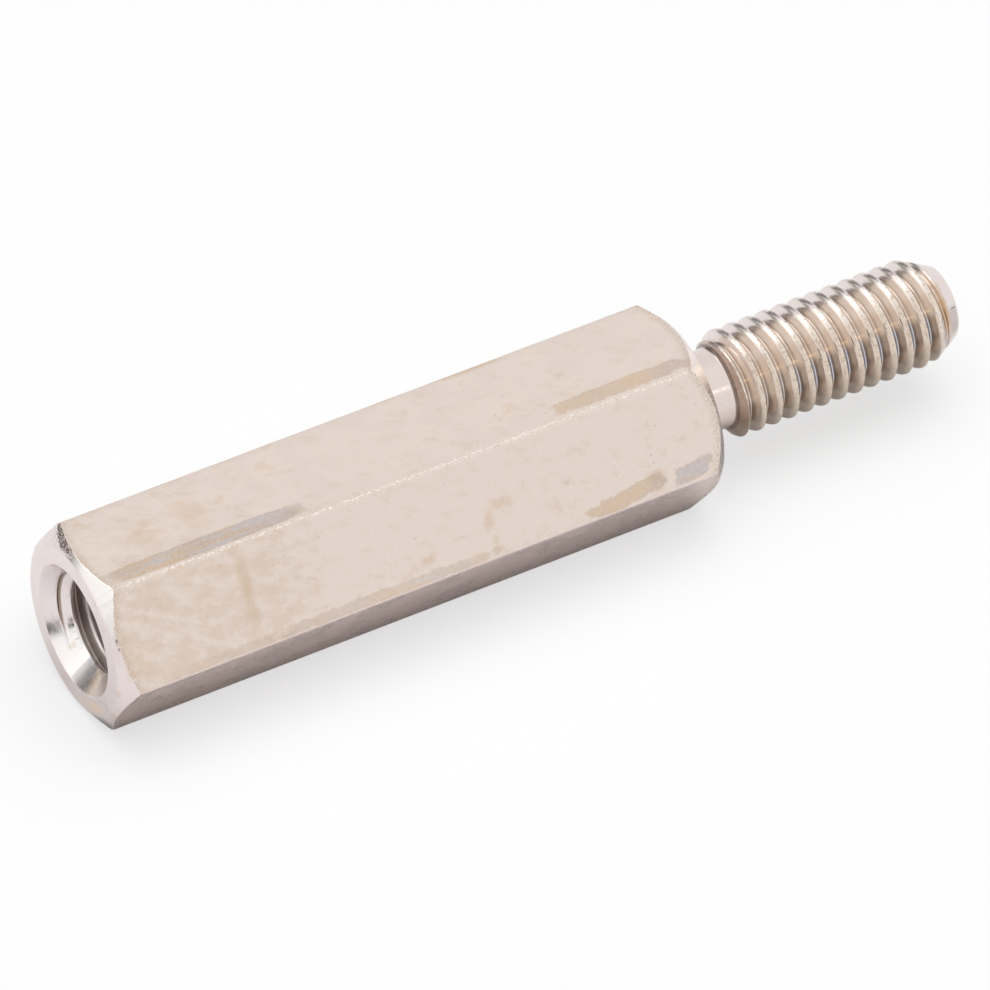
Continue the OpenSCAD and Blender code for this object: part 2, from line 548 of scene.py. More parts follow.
class Recipe:
    """Adds nodes to one node tree. Every helper takes plain values or output sockets and returns a socket."""

    def __init__(self, tree):
        self.tree = tree

    def add(self, kind, inputs=(), **settings):
        node = self.tree.nodes.new("ShaderNode" + kind)
        for name, value in settings.items():
            setattr(node, name, value)
        for key, value in dict(inputs).items():
            self.feed(node.inputs[key], value)
        return node

    def feed(self, socket, value):
        if isinstance(value, bpy.types.NodeSocket):
            self.tree.links.new(value, socket)
        elif socket.type == "RGBA" and len(value) == 3:
            socket.default_value = (*value, 1)
        else:
            socket.default_value = value

    def math(self, operation, *values):
        return self.add("Math", enumerate(values), operation=operation).outputs[0]

    def times(self, first, *others):
        for other in others:
            first = self.math("MULTIPLY", first, other)
        return first

    def plus(self, first, *others):
        for other in others:
            first = self.math("ADD", first, other)
        return first

    def minus(self, first, second):
        return self.math("SUBTRACT", first, second)

    def most(self, first, second):
        return self.math("MAXIMUM", first, second)

    def least(self, first, second):
        return self.math("MINIMUM", first, second)

    def scaled(self, value, factor, shift):
        """The value times a factor, plus a shift."""
        return self.math("MULTIPLY_ADD", value, factor, shift)

    def apart(self, value, middle):
        """How far a value lies from a middle one."""
        return self.math("ABSOLUTE", self.minus(value, middle))

    def vector(self, operation, *values):
        node = self.add("VectorMath", enumerate(values), operation=operation)
        return node.outputs["Value" if operation in ("DOT_PRODUCT", "LENGTH") else "Vector"]

    def combine(self, x, y, z):
        return self.add("CombineXYZ", enumerate((x, y, z))).outputs[0]

    def separate(self, place):
        return self.add("SeparateXYZ", {0: place}).outputs

    def step(self, value, low, high, first=0.0, last=1.0):
        """A smooth step from the first level to the last, as value goes from low to high."""
        places = {"Value": value, "From Min": low, "From Max": high, "To Min": first, "To Max": last}
        return self.add("MapRange", places, interpolation_type="SMOOTHSTEP").outputs["Result"]

    def fade(self, value, low, high, level=1.0):
        """A smooth step down from a level to nothing."""
        return self.step(value, low, high, level, 0.0)

    def band(self, value, middle, inner, outer, level=1.0, beyond=0.0):
        """A level within the inner half width of a middle value, which fades out at the outer half width."""
        return self.step(self.apart(value, middle), inner, outer, level, beyond)

    def noise(self, place, scale, detail=2.0, roughness=0.5):
        """Noise from 0 to 1, with one grain to about 1 / scale of the place's unit."""
        inputs = {"Vector": place, "Scale": scale, "Detail": detail, "Roughness": roughness}
        return self.add("TexNoise", inputs).outputs["Fac"]

    def mix(self, amount, first, second):
        node = self.add("Mix", data_type="RGBA")
        self.feed(node.inputs[0], amount)
        self.feed(node.inputs[6], first)
        self.feed(node.inputs[7], second)
        return node.outputs[2]

    def lay(self, base, colour, cover, strength=None):
        """Lays a colour over a base where the cover says, at a share of its strength."""
        return self.mix(cover if strength is None else self.times(cover, strength), base, colour)

    def group(self, tree, **inputs):
        """A group node, whose inputs are named in lower case with _ for each space."""
        node = self.tree.nodes.new("ShaderNodeGroup")
        node.node_tree = tree
        for name, value in inputs.items():
            self.feed(node.inputs[name.replace("_", " ").capitalize()], value)
        return node.outputs


def new_group(name, inputs, outputs):
    """A node group whose sockets are named in two tables: kind: "names, with commas between them".
    Returns its tree, a recipe for it, its entry's sockets and its exit."""
    kinds = {"value": "NodeSocketFloat", "vector": "NodeSocketVector", "colour": "NodeSocketColor"}
    tree = bpy.data.node_groups.new(name, "ShaderNodeTree")
    for direction, sockets in (("INPUT", inputs), ("OUTPUT", outputs)):
        for kind, labels in sockets.items():
            for label in labels.split(", "):
                tree.interface.new_socket(label, in_out=direction, socket_type=kinds[kind])
    entry = tree.nodes.new("NodeGroupInput").outputs
    leave = tree.nodes.new("NodeGroupOutput").inputs
    return tree, Recipe(tree), entry, leave


def bar_places(sizes):
    """Where a point lies on the bar, in millimetres and degrees. Gaps are measured in from a flat's edges,
    and Flat gap down from the flat's own plane."""
    apothem = sizes.apothem / MM
    socket_slope = math.tan(sizes.socket_slope)
    shoulder_slope = math.tan(sizes.shoulder_slope)
    labels = {"vector": "Place, Flat place", "value": "Along, Turn, Radius, Edge gap, End gap, Flat gap"}
    tree, r, _, leave = new_group("bar_places", {}, labels)
    coordinates = r.add("TexCoord").outputs["Object"]
    place = r.vector("MULTIPLY", coordinates, (1 / MM, 1 / MM, 1 / MM))
    x, y, z = r.separate(place)
    radius = r.math("SQRT", r.plus(r.times(y, y), r.times(z, z)))
    turn = r.math("FLOORED_MODULO", r.math("DEGREES", r.math("ARCTAN2", z, y)), FULL_TURN)
    sector = FULL_TURN / SIDES
    side = r.math("FLOOR", r.math("DIVIDE", turn, sector))
    off = r.math("RADIANS", r.minus(turn, r.scaled(side, sector, sector / 2)))
    across = r.times(radius, r.math("SINE", off))
    edge_gap = r.minus(apothem * math.tan(SECTOR / 2), r.math("ABSOLUTE", across))
    flat_gap = r.minus(apothem, r.times(radius, r.math("COSINE", off)))
    shoulder_rise = sizes.body_length / MM + sizes.shoulder_face / MM * shoulder_slope
    to_shoulder = r.minus(shoulder_rise, r.scaled(radius, shoulder_slope, x))
    socket_start = r.scaled(radius, socket_slope, -sizes.socket_face / MM * socket_slope)
    end_gap = r.least(to_shoulder, r.minus(x, socket_start))
    values = (place, r.combine(x, across, side), x, turn, radius, edge_gap, end_gap, flat_gap)
    for socket, value in zip(leave, values):
        r.feed(socket, value)
    return tree


def stain_shape():
    """The depth in millimetres inside a ragged patch on one side of the bar, negative outside it."""
    labels = {"vector": "Flat place, Centre", "value": "Half length, Half width, Lean, Ragged"}
    tree, r, entry, leave = new_group("stain_shape", labels, {"value": "Depth"})
    squareness = 4.0
    off_side = -10.0
    dx, dy, side = r.separate(r.vector("SUBTRACT", entry["Flat place"], entry["Centre"]))
    wander = r.minus(r.noise(entry["Flat place"], 3.0, 3.0, 0.55), 0.5)
    leant = r.plus(dy, r.times(dx, entry["Lean"]))
    along = r.math("POWER", r.math("ABSOLUTE", r.math("DIVIDE", dx, entry["Half length"])), squareness)
    across = r.math("POWER", r.math("ABSOLUTE", r.math("DIVIDE", leant, entry["Half width"])), squareness)
    reach = r.math("POWER", r.plus(along, across), 1 / squareness)
    depth = r.times(r.minus(1.0, reach), entry["Half width"])
    other = r.times(r.math("ABSOLUTE", side), off_side)
    r.feed(leave["Depth"], r.plus(depth, r.times(wander, entry["Ragged"]), other))
    return tree


def stain_film():
    """The colours of a dried stain, in streaks along the bar, and how strongly it covers the metal."""
    labels = {"value": "Depth, Blueness", "vector": "Place", "colour": "Tan, Mauve, Blue, Rim"}
    tree, r, entry, leave = new_group("stain_film", labels, {"colour": "Colour", "value": "Cover"})
    streak = r.noise(r.vector("MULTIPLY", entry["Place"], (0.55, 3.0, 1.0)), 1.3, 2.5, 0.55)
    patch = r.noise(r.vector("MULTIPLY", entry["Place"], (0.6, 0.6, 1.0)), 1.1)
    film = r.mix(r.step(patch, 0.42, 0.58), entry["Tan"], entry["Mauve"])
    film = r.lay(film, entry["Blue"], r.step(r.plus(streak, entry["Blueness"]), 0.46, 0.62))
    r.feed(leave["Colour"], r.lay(film, entry["Rim"], r.fade(entry["Depth"], 0.0, 0.06, level=0.5)))
    broken = r.step(r.noise(entry["Place"], 9.0, 3.0, 0.65), 0.3, 0.6, first=0.7)
    r.feed(leave["Cover"], r.times(r.step(entry["Depth"], -0.03, 0.04), broken))
    return tree


def flat_haze():
    """Brownish haze in slanting mottles, thicker near the socket, and most of all on the front flat."""
    tree, r, entry, leave = new_group("flat_haze", {"vector": "Flat place"}, {"value": "Cover"})
    front_side = 2.0
    socket_half = (4.5, 7.0)
    x, across, side = r.separate(entry["Flat place"])
    slant = r.scaled(across, 0.8, x)
    rise = r.scaled(x, -0.5, across)
    mottle = r.noise(r.combine(r.times(slant, 0.6), r.times(rise, 1.1), r.times(side, 3.7)), 2.3, 4.0, 0.66)
    near = r.fade(x, *socket_half)
    front = r.minus(1.0, r.least(r.apart(side, front_side), 1.0))
    thick = r.scaled(r.times(near, front), 0.12, r.times(near, 0.06))
    r.feed(leave["Cover"], r.step(r.plus(mottle, thick), 0.50, 0.82))
    return tree


def surface_grain():
    """Fine grain, rare specks and broad mottles of plated metal."""
    labels = {"value": "Grain, Specks, Mottle"}
    tree, r, entry, leave = new_group("surface_grain", {"vector": "Place"}, labels)
    place = entry["Place"]
    dots = r.add("TexVoronoi", {"Vector": place, "Scale": 3.4}, feature="F1").outputs["Distance"]
    rare = r.step(r.noise(place, 1.3), 0.56, 0.66)
    r.feed(leave["Grain"], r.noise(place, 26.0, 3.0, 0.7))
    r.feed(leave["Specks"], r.times(r.fade(dots, 0.05, 0.13), rare))
    r.feed(leave["Mottle"], r.noise(place, 1.1, 5.0, 0.62))
    return tree


def turning_marks():
    """Rings that a lathe tool leaves, for faces, cones and cylinders alike."""
    labels = {"value": "Along, Radius, Turn, Spacing"}
    tree, r, entry, leave = new_group("turning_marks", labels, {"value": "Rings"})
    track = r.plus(r.times(entry["Along"], 0.37), entry["Radius"])
    drift = r.times(r.math("SINE", r.math("RADIANS", entry["Turn"])), 0.02)
    place = r.combine(r.math("DIVIDE", r.plus(track, drift), entry["Spacing"]), drift, 0.0)
    r.feed(leave["Rings"], r.noise(place, 1.0, 3.0, 0.65))
    return tree


# Places on the chamfers: lengths in millimetres, and turns in degrees as (middle, inner, outer half width).
# The torn corner has a turn and a depth below its flat, each as (middle, half width)
CHAMFER_START = (2.34, 2.44)
SOCKET_END = (1.0, 1.1)
SHOULDER_END = (17.5, 17.6)
TORN_CORNER = ((71.5, 13.0), (0.05, 0.19))
SPECKLED_FRONT = (145.5, 5.5, 8.5)
SCUFFED_CORNER = (138.0, 8.0, 12.0)
# Painted highlight on the front of the socket's chamfer
FRONT_HIGHLIGHT = (116.0, 26.0, 32.0)
TORN_SHOULDER = (160.0, 26.0, 32.0)
# Painted light on the shoulder's chamfer
SHOULDER_LIGHT = (116.0, 9.0, 14.0)


def torn_metal():
    """Where the tool tore the chamfers: a dark patch by the socket's top corner, ragged specks along the
    socket's front edge, and the shoulder's front edge. Relief adds the scuffed front corner to them. Bright
    is painted light on the shoulder's chamfer above its torn edge, and the last output a painted highlight on
    the front of the socket's chamfer."""
    labels = {"value": "Along, Turn, Radius, Flat gap", "vector": "Place"}
    tree, r, entry, leave = new_group("torn_metal", labels, {"value": "Torn, Relief, Bright, Polished"})
    wander = r.minus(r.noise(entry["Place"], 7.0, 3.0), 0.5)
    turn = r.scaled(wander, 14.0, entry["Turn"])
    chamfer = r.step(entry["Radius"], *CHAMFER_START)
    near_end = r.fade(entry["Along"], *SOCKET_END)
    at_socket = r.times(chamfer, near_end)
    at_shoulder = r.times(chamfer, r.step(entry["Along"], *SHOULDER_END))

    inputs = (entry["Turn"], entry["Flat gap"])
    off = [r.math("DIVIDE", r.minus(i, middle), half) for i, (middle, half) in zip(inputs, TORN_CORNER)]
    reach = r.math("SQRT", r.plus(r.math("POWER", off[0], 2.0), r.math("POWER", off[1], 2.0)))
    patch = r.fade(r.scaled(wander, 0.5, reach), 0.85, 1.0)
    edge = r.fade(r.scaled(wander, 0.12, entry["Flat gap"]), 0.025, 0.05)
    ragged = r.times(edge, r.step(wander, -0.08, 0.02, first=0.9, last=0.3))
    specks = r.times(r.band(turn, *SPECKLED_FRONT), ragged)

    torn_edge = r.times(r.band(turn, *TORN_SHOULDER, level=0.6), at_shoulder)
    torn = r.most(r.times(r.most(patch, specks), at_socket), torn_edge)
    scuffed = r.times(r.band(turn, *SCUFFED_CORNER, level=0.8), near_end)
    scuffed = r.times(scuffed, r.fade(entry["Flat gap"], 0.08, 0.16))
    r.feed(leave["Torn"], torn)
    r.feed(leave["Relief"], r.most(scuffed, torn))
    r.feed(leave["Bright"], r.times(r.band(turn, *SHOULDER_LIGHT), at_shoulder))
    r.feed(leave["Polished"], r.times(r.band(turn, *FRONT_HIGHLIGHT, level=0.9), at_socket))
    return tree


def thread_wear(z):
    """A point's depth below the stud's outside, and how far it belongs to the flank that faces the shoulder,
    to the rounding beside that flank, or to the back flank, which faces the tip."""
    labels = {"value": "Depth, Flank, Rounding, Back"}
    tree, r, entry, leave = new_group("thread_wear", {"value": "Along, Radius"}, labels)
    neck_end = (z.body_length + z.neck_length) / MM
    past_neck = r.most(r.minus(entry["Along"], neck_end), 0.0)
    past_cone = r.most(r.minus(entry["Along"], cone_start(z) / MM), 0.0)
    from_neck = r.scaled(past_neck, math.tan(z.neck_flank), z.neck / MM)
    to_tip = r.scaled(past_cone, -math.tan(z.tip_slope), z.crest / MM)
    outside = r.least(r.least(from_neck, to_tip), z.crest / MM)
    towards_tip = r.separate(r.add("NewGeometry").outputs["Normal"])[0]
    r.feed(leave["Depth"], r.minus(outside, entry["Radius"]))
    r.feed(leave["Flank"], r.fade(towards_tip, -0.65, -0.20))
    r.feed(leave["Rounding"], r.fade(towards_tip, -0.15, 0.12))
    r.feed(leave["Back"], r.step(towards_tip, 0.30, 0.60, last=0.6))
    return tree


def thread_cut(z):
    """Fine marks along the cut of a thread, and their relief with the metal's grain, coarser where worn."""
    labels = {"value": "Along, Turn, Radius, Spread, Grain, Worn"}
    tree, r, entry, leave = new_group("thread_cut", labels, {"value": "Marks, Height"})
    lap = r.times(r.math("RADIANS", entry["Turn"]), 2.2)
    lead = r.scaled(entry["Turn"], -z.pitch / MM / FULL_TURN, entry["Along"])
    outward = r.times(entry["Radius"], entry["Spread"], 1.4)
    marks = r.noise(r.combine(r.times(lead, entry["Spread"]), outward, lap), 1.0, 3.0, 0.65)
    pitted = r.times(entry["Grain"], r.scaled(entry["Worn"], 2.0, 0.9))
    r.feed(leave["Marks"], marks)
    r.feed(leave["Height"], r.plus(r.times(marks, 1.6), pitted))
    return tree


# ---------------------------------------------------------------- finishes


class Groups:
    """The shared node groups, built once."""

    def __init__(self, z):
        self.places = bar_places(z)
        self.stain = stain_shape()
        self.film = stain_film()
        self.haze = flat_haze()
        self.grain = surface_grain()
        self.rings = turning_marks()
        self.torn = torn_metal()
        self.wear = thread_wear(z)
        self.cut = thread_cut(z)


def new_metal(name, roughness):
    """A metal material. Returns it, its recipe and its shader."""
    material = bpy.data.materials.new(name)
    material.use_nodes = True
    shader = material.node_tree.nodes["Principled BSDF"]
    shader.inputs["Metallic"].default_value = 1
    shader.inputs["Roughness"].default_value = roughness
    return material, Recipe(material.node_tree), shader


def feed_relief(r, shader, height, strength=0.35, distance=0.0000022):
    """Feeds a height to a shader's normal. The distance is in metres."""
    bump = r.add("Bump", {"Height": height, "Strength": strength, "Distance": distance})
    r.feed(shader.inputs["Normal"], bump.outputs[0])


def around_axis(where):
    """A place on the bar as a turned part has it, for the groups that ask for it."""
    return dict(along=where["Along"], radius=where["Radius"], turn=where["Turn"])


def patch_depth(r, g, place, patch):
    """The depth inside one patch, given as (centre, half length, half width, lean, ragged)."""
    names = ("centre", "half_length", "half_width", "lean", "ragged")
    return r.group(g.stain, flat_place=place, **dict(zip(names, patch)))["Depth"]


def lay_stains(r, g, f, place, base, stains):
    """Lays dried stains over a colour. Each is a patch, its blueness and its strength."""
    palette = dict(tan=f.tan, mauve=f.mauve, blue=f.blue, rim=f.rim)
    for *patch, blueness, strength in stains:
        depth = patch_depth(r, g, place, patch)
        film = r.group(g.film, depth=depth, blueness=blueness, place=place, **palette)
        base = r.lay(base, film["Colour"], film["Cover"], strength)
    return base


def lay_smudges(r, g, colour, place, base, smudges):
    """Lays soft smudges over a colour. Each is a patch and its strength."""
    for *patch, strength in smudges:
        _, half_length, half_width, _, _ = patch
        inside = half_width * 0.9
        outside = -0.5 * min(half_length / half_width, 1) * inside
        cover = r.step(patch_depth(r, g, place, patch), outside, inside, last=strength * 1.3)
        base = r.lay(base, colour, cover)
    return base


def lay_patches(r, g, colour, place, base, patches, rim):
    """Lays patches over a colour, with a soft rim of the given width. Each is a patch and its strength."""
    for *patch, strength in patches:
        cover = r.step(patch_depth(r, g, place, patch), -rim, rim, last=strength)
        base = r.lay(base, colour, cover)
    return base


# Stains on the flats: ((along, across, side), half length, half width, lean, ragged, blueness, strength)
FLAT_STAINS = (
    ((3.25, 1.08, 1), 2.85, 0.27, 0.0, 0.10, 0.0, 0.9),
    ((15.6, 1.06, 1), 2.10, 0.24, 0.0, 0.18, -0.16, 0.70),
    ((14.9, 1.16, 2), 1.15, 0.22, 0.12, 0.36, -0.10, 0.75),
    ((16.85, 1.12, 2), 0.55, 0.24, 0.12, 0.22, 0.10, 0.88),
    ((7.7, 1.29, 2), 3.3, 0.15, 0.0, 0.24, -0.08, 0.55),
    ((2.9, 1.29, 2), 1.5, 0.12, 0.0, 0.24, -0.08, 0.35),
    ((5.5, -1.05, 4), 3.2, 0.30, 0.02, 0.12, 0.0, 0.7),
    ((13.0, 0.95, 5), 2.4, 0.28, -0.03, 0.14, -0.1, 0.7),
    ((8.0, 1.1, 0), 3.0, 0.25, 0.02, 0.12, 0.0, 0.6),
)
# Smudges on the flats: ((along, across, side), half length, half width, lean, ragged, strength)
FLAT_SMUDGES = (
    ((3.93, -0.10, 2), 0.24, 1.60, 0.03, 0.40, 0.42),
    ((1.95, 0.10, 1), 0.38, 0.95, -0.3, 0.80, 0.20),
    ((3.45, 0.00, 1), 0.45, 1.00, -0.2, 0.80, 0.20),
    ((12.5, -1.38, 1), 0.95, 0.10, 0.0, 0.20, 0.45),
    ((11.35, 0.04, 2), 0.30, 0.15, -0.1, 0.40, 0.36),
    ((10.93, 0.40, 2), 0.18, 0.30, 0.5, 0.40, 0.36),
    ((11.00, 0.98, 2), 0.12, 0.24, 0.0, 0.30, 0.24),
    ((9.0, 0.84, 2), 0.22, 0.14, 0.3, 0.25, 0.34),
    ((13.3, 0.20, 2), 0.20, 0.10, 0.0, 0.25, 0.25),
    ((15.8, 0.92, 2), 0.30, 0.16, 0.0, 0.25, 0.50),
    ((14.4, -0.05, 1), 0.16, 0.10, 0.0, 0.20, 0.30),
)
# Wear on the flats, as distances in from a flat's edges, and the turns (middle, inner, outer half width) that
# the lower flats, whose tint also lifts their shade, and the worn corner between the two upper front flats,
# which also has a painted highlight, take up
END_TARNISH = (0.03, 0.30)
CORNER_WEAR = (0.02, 0.09)
CORNER_CORE = (0.01, 0.04)
LOWER_FLATS = (240.0, 59.0, 61.0)
WORN_CORNER = (120.0, 20.0, 40.0)


def drawn_flats(g, f):
    """The hexagon's six flats: hazy nickel with dried stains beside the edges and bright worn corners, a
    painted highlight along the front corner, and a duller, lighter film on the lower flats that lifts their
    shade as painted light.
    """
    material, r, shader = new_metal("drawn_flats", f.flat_roughness)
    where = r.group(g.places)
    place = where["Flat place"]
    metal = r.group(g.grain, place=where["Place"])
    grain = metal["Grain"]
    mottle = metal["Mottle"]
    # The flats that face down take a duller, lighter and pinker tint, which partly lifts their shade as
    # painted light
    base = r.lay(f.plate, f.lower_film_and_lift, r.band(where["Turn"], *LOWER_FLATS))
    base = r.lay(base, f.haze, r.group(g.haze, flat_place=place)["Cover"], strength=0.62)
    base = r.lay(base, f.tan, r.step(mottle, 0.57, 0.70, last=0.32))
    base = lay_smudges(r, g, f.tan, place, base, FLAT_SMUDGES)
    base = lay_stains(r, g, f, place, base, FLAT_STAINS)
    base = r.lay(base, f.specks_and_painted_shade, metal["Specks"], strength=0.3)
    base = r.lay(base, f.haze, r.step(grain, 0.25, 0.75, last=0.06))
    ends = r.fade(where["End gap"], *END_TARNISH, level=0.8)
    base = r.lay(base, f.rim, r.times(ends, r.step(grain, 0.46, 0.60)))
    # The front corner: worn nickel with dark and bright nicks, and a bright line along its middle that is a
    # painted highlight
    by_corner = r.band(where["Turn"], *WORN_CORNER, beyond=0.04)
    worn = r.times(by_corner, r.fade(where["Edge gap"], *CORNER_WEAR))
    base = r.lay(base, f.rim, r.times(worn, r.fade(grain, 0.40, 0.50, level=0.5)))
    nicks = r.times(worn, r.step(r.noise(place, 11.0, 2.0, 0.6), 0.52, 0.58))
    painted_edge_highlight = r.times(by_corner, r.fade(where["Edge gap"], *CORNER_CORE, level=0.6))
    r.feed(shader.inputs["Base Color"], r.lay(base, f.bright, r.most(nicks, painted_edge_highlight)))
    feed_relief(r, shader, r.times(grain, r.scaled(worn, 18.0, 0.15)))
    rough = r.step(mottle, 0.35, 0.7, f.flat_roughness - 0.05, f.flat_roughness + 0.08)
    r.feed(shader.inputs["Roughness"], r.scaled(worn, -0.13, rough))
    return material


# Stains on the end face: ((y, z, 0), half length, half width, lean, ragged, strength)
FACE_TAN = (
    ((-1.20, -1.74, 0), 0.44, 0.19, 0.45, 0.35, 0.20),
    ((-2.32, -0.30, 0), 0.09, 0.14, 0.0, 0.14, 0.30),
    ((1.02, 1.52, 0), 0.40, 0.04, 0.9, 0.08, 0.28),
)
# The lower peach stains are laid large and light, also as painted light against the shade that the end face
# reflects there
FACE_PEACH = (
    ((-1.20, -1.74, 0), 0.38, 0.14, 0.45, 0.35, 0.55),
    ((-0.60, -1.98, 0), 0.30, 0.10, 0.45, 0.25, 0.40),
)
FACE_BLUE = (
    ((-1.62, -1.27, 0), 0.34, 0.07, 0.15, 0.14, 0.30),
    ((-1.93, -1.60, 0), 0.09, 0.20, 0.2, 0.16, 0.20),
)


def turned_faces(g, f):
    """The end faces, chamfers and tip: bright nickel over fine turning marks, torn at a chamfer's edges, with
    painted highlights and light on the chamfers and peach stains that also lift the end face's lower part as
    painted light.
    """
    material, r, shader = new_metal("turned_faces", f.turned_roughness)
    where = r.group(g.places)
    place = where["Place"]
    metal = r.group(g.grain, place=place)
    grain = metal["Grain"]
    mottle = metal["Mottle"]
    _, y, z = r.separate(place)
    face_place = r.combine(y, z, 0.0)
    coarse = r.group(g.rings, spacing=0.055, **around_axis(where))["Rings"]
    fine = r.group(g.rings, spacing=0.016, **around_axis(where))["Rings"]
    torn = r.group(g.torn, place=place, flat_gap=where["Flat gap"], **around_axis(where))
    base = r.lay(f.turned, f.haze, r.step(mottle, 0.48, 0.75, last=0.35))
    films = ((f.tan, FACE_TAN, 0.06), (f.peach, FACE_PEACH, 0.06), (f.blue, FACE_BLUE, 0.03))
    for tint, stains, rim in films:
        base = lay_patches(r, g, tint, face_place, base, stains, rim)
    base = r.lay(base, f.tan, r.step(coarse, 0.35, 0.7, last=0.12))
    base = r.lay(base, f.specks_and_painted_shade, metal["Specks"], strength=0.5)
    # Painted highlight: a neutral tint and a bright sparkle on the front of the socket's chamfer
    base = r.lay(base, f.polished, torn["Polished"])
    sparkle = r.fade(r.plus(where["Flat gap"], grain), 0.45, 0.60, level=0.8)
    base = r.lay(base, f.bright, r.times(torn["Polished"], sparkle))
    # Painted light: a lighter tint on the shoulder's chamfer above its torn edge
    base = r.lay(base, f.bright, torn["Bright"], strength=0.7)
    ragged = r.noise(r.vector("MULTIPLY", place, (1.0, 1.0, 2.0)), 13.0, 3.0, 0.6)
    pitted = r.times(torn["Torn"], r.step(ragged, 0.46, 0.60, first=1.0, last=0.25))
    r.feed(shader.inputs["Base Color"], r.lay(base, f.specks_and_painted_shade, pitted))
    height = r.plus(coarse, r.times(fine, 0.6), r.times(grain, r.scaled(torn["Relief"], 16.0, 0.5)))
    feed_relief(r, shader, height)
    rough = r.step(mottle, 0.35, 0.7, f.turned_roughness - 0.04, f.turned_roughness + 0.06)
    r.feed(shader.inputs["Roughness"], rough)
    return material


def finish_thread(r, f, shader, base, metal, cut, dull=0.0):
    """Feeds a thread's colour, relief and roughness to its shader. It is rougher where it is dull."""
    r.feed(shader.inputs["Base Color"], r.lay(base, f.specks_and_painted_shade, metal["Specks"], strength=0.6))
    feed_relief(r, shader, cut["Height"], strength=0.45, distance=0.000003)
    smooth = shader.inputs["Roughness"].default_value
    rough = r.step(cut["Marks"], 0.3, 0.7, smooth - 0.04, smooth + 0.08)
    r.feed(shader.inputs["Roughness"], r.scaled(dull, 0.22, rough))


# Places on the stud: stations and depths in millimetres, and turns in degrees
THREAD_START = (19.1, 19.2)
TIP_START = (25.45, 25.65)
CREST = (0.02, 0.05)
ROOT = (0.20, 0.27)
ROOT_SIDE = (0.19, 0.25)
ROOT_MIDDLE = (0.275, 0.295)
FIRST_VALLEY = (19.30, 19.42)
CLEAN_CRESTS = (82.0, 100.0)
CLEAN_BACK = (62.0, 78.0)
LOWER_CRESTS = (110.0, 126.0)
GLINTING_EDGE = (112.0, 130.0)
# The same as (middle, inner, outer half width)
THREAD_CORNER = (19.155, 0.03, 0.05)
UNDERSIDE = (186.0, 8.0, 24.0)
FRONT = (165.0, 12.0, 26.0)
LAMP_LINE = (138.0, 0.6, 2.4)
# Stains round the stud's tip: ((mm round, mm along, 0), half length, half width, lean, ragged, strength)
TIP_STAINS = (
    ((3.65, 25.56, 0), 0.85, 0.10, 0.0, 0.12, 0.75),
    ((2.95, 25.36, 0), 0.50, 0.10, 0.2, 0.20, 0.45),
)
TIP_SCRATCH = (((3.73, 25.87, 0), 0.03, 0.13, 0.0, 0.05, 0.60),)


def stud_masks(r, g):
    """Where a point lies on the stud, the stud's wear there, and which parts of its thread it belongs to."""
    where = r.group(g.places)
    metal = r.group(g.grain, place=where["Place"])
    wear = r.group(g.wear, along=where["Along"], radius=where["Radius"])
    turn = where["Turn"]
    threaded = r.times(r.step(where["Along"], *THREAD_START), r.fade(where["Along"], *TIP_START))
    crest = r.times(threaded, r.fade(wear["Depth"], *CREST))
    nicks = r.times(crest, r.step(r.noise(where["Place"], 9.0, 3.0, 0.6), 0.50, 0.58))
    top = r.times(crest, r.fade(turn, *CLEAN_CRESTS))
    clean = r.most(top, r.times(threaded, r.fade(turn, *CLEAN_BACK, level=0.85)))
    cut = r.group(g.cut, spread=10.0, grain=metal["Grain"], worn=nicks, **around_axis(where))
    return SimpleNamespace(
        where=where, turn=turn, along=where["Along"], metal=metal, wear=wear, depth=wear["Depth"], cut=cut,
        threaded=threaded, crest=crest, nicks=nicks, clean=clean,
    )


def tarnished_thread(r, f, m):
    """The stud's colour before its films: pale on the neck and the clean top, and tan on the lower crests."""
    tarnished = r.minus(m.threaded, m.clean)
    hazy = r.times(r.minus(1.0, m.clean), r.step(m.metal["Mottle"], 0.4, 0.7, 0.08, 0.24))
    hazy = r.most(hazy, r.step(m.along, *THREAD_START, first=0.36, last=0.06))
    base = r.lay(f.turned, f.bright, tarnished, strength=0.6)
    base = r.lay(base, f.haze, hazy)
    base = r.lay(base, f.flank, r.times(tarnished, r.step(m.cut["Marks"], 0.40, 0.60, last=0.25)))
    base = r.lay(base, f.rim, r.times(tarnished, r.step(m.cut["Marks"], 0.52, 0.62, last=0.08)))
    base = r.lay(base, f.flank, r.minus(m.wear["Flank"], m.clean), strength=0.35)
    lower_crest = r.times(m.threaded, r.step(m.turn, *LOWER_CRESTS, last=0.85), m.wear["Rounding"])
    base = r.lay(base, f.flank, lower_crest)
    base = r.lay(base, f.rim, lower_crest, strength=0.40)
    # Painted glint: a bright tint on the crests' edges from about 112 degrees round
    edge = r.times(m.crest, r.step(m.turn, *GLINTING_EDGE, last=0.6))
    return r.lay(base, f.bright, r.times(edge, r.minus(1.0, m.wear["Rounding"])))


